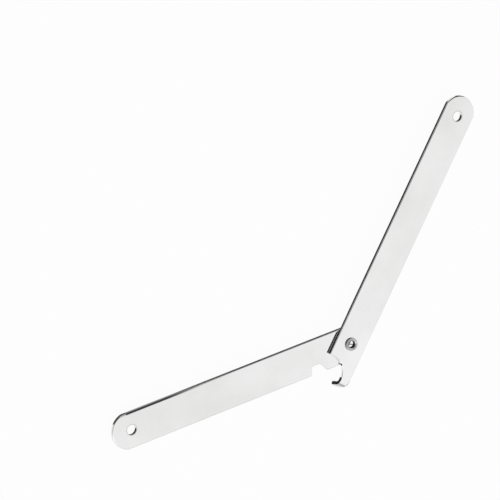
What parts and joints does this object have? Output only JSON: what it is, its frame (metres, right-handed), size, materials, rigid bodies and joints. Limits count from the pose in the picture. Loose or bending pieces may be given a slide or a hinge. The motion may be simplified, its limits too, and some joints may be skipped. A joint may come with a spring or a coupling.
{
  "type": "folding lid stay",
  "caption": "Folding lid stay: two flat plated steel arms that turn on one rivet, with a bent tab on one arm that lands in a notch in the other when the lid is open",
  "frame": {"origin": "centre of the notch arm's screw hole, on the face of the notch arm that lies against the wood", "axes": "+X along the notch arm from its screw hole to the rivet, +Z along the rivet from the notch arm to the hook arm, the tab points along -Z"},
  "size_m": [0.2005, 0.1104, 0.007],
  "materials": {
    "plated_strip": "bright nickel plate on stamped steel strip, satin faces",
    "plated_rivet": "bright nickel plate on a cold headed steel rivet"
  },
  "bodies": {
    "notch_arm": {"notch_arm": "plated_strip", "rivet": "plated_rivet"},
    "hook_arm": {"hook_arm": "plated_strip"}
  },
  "joints": [
    {"name": "arm_fold", "type": "hinge", "parent": "notch_arm", "child": "hook_arm", "pos_m": [0.11, 0, 0.00155], "axis": [0, 0, 1], "range_deg": [-45.2, 131.2]}
  ]
}
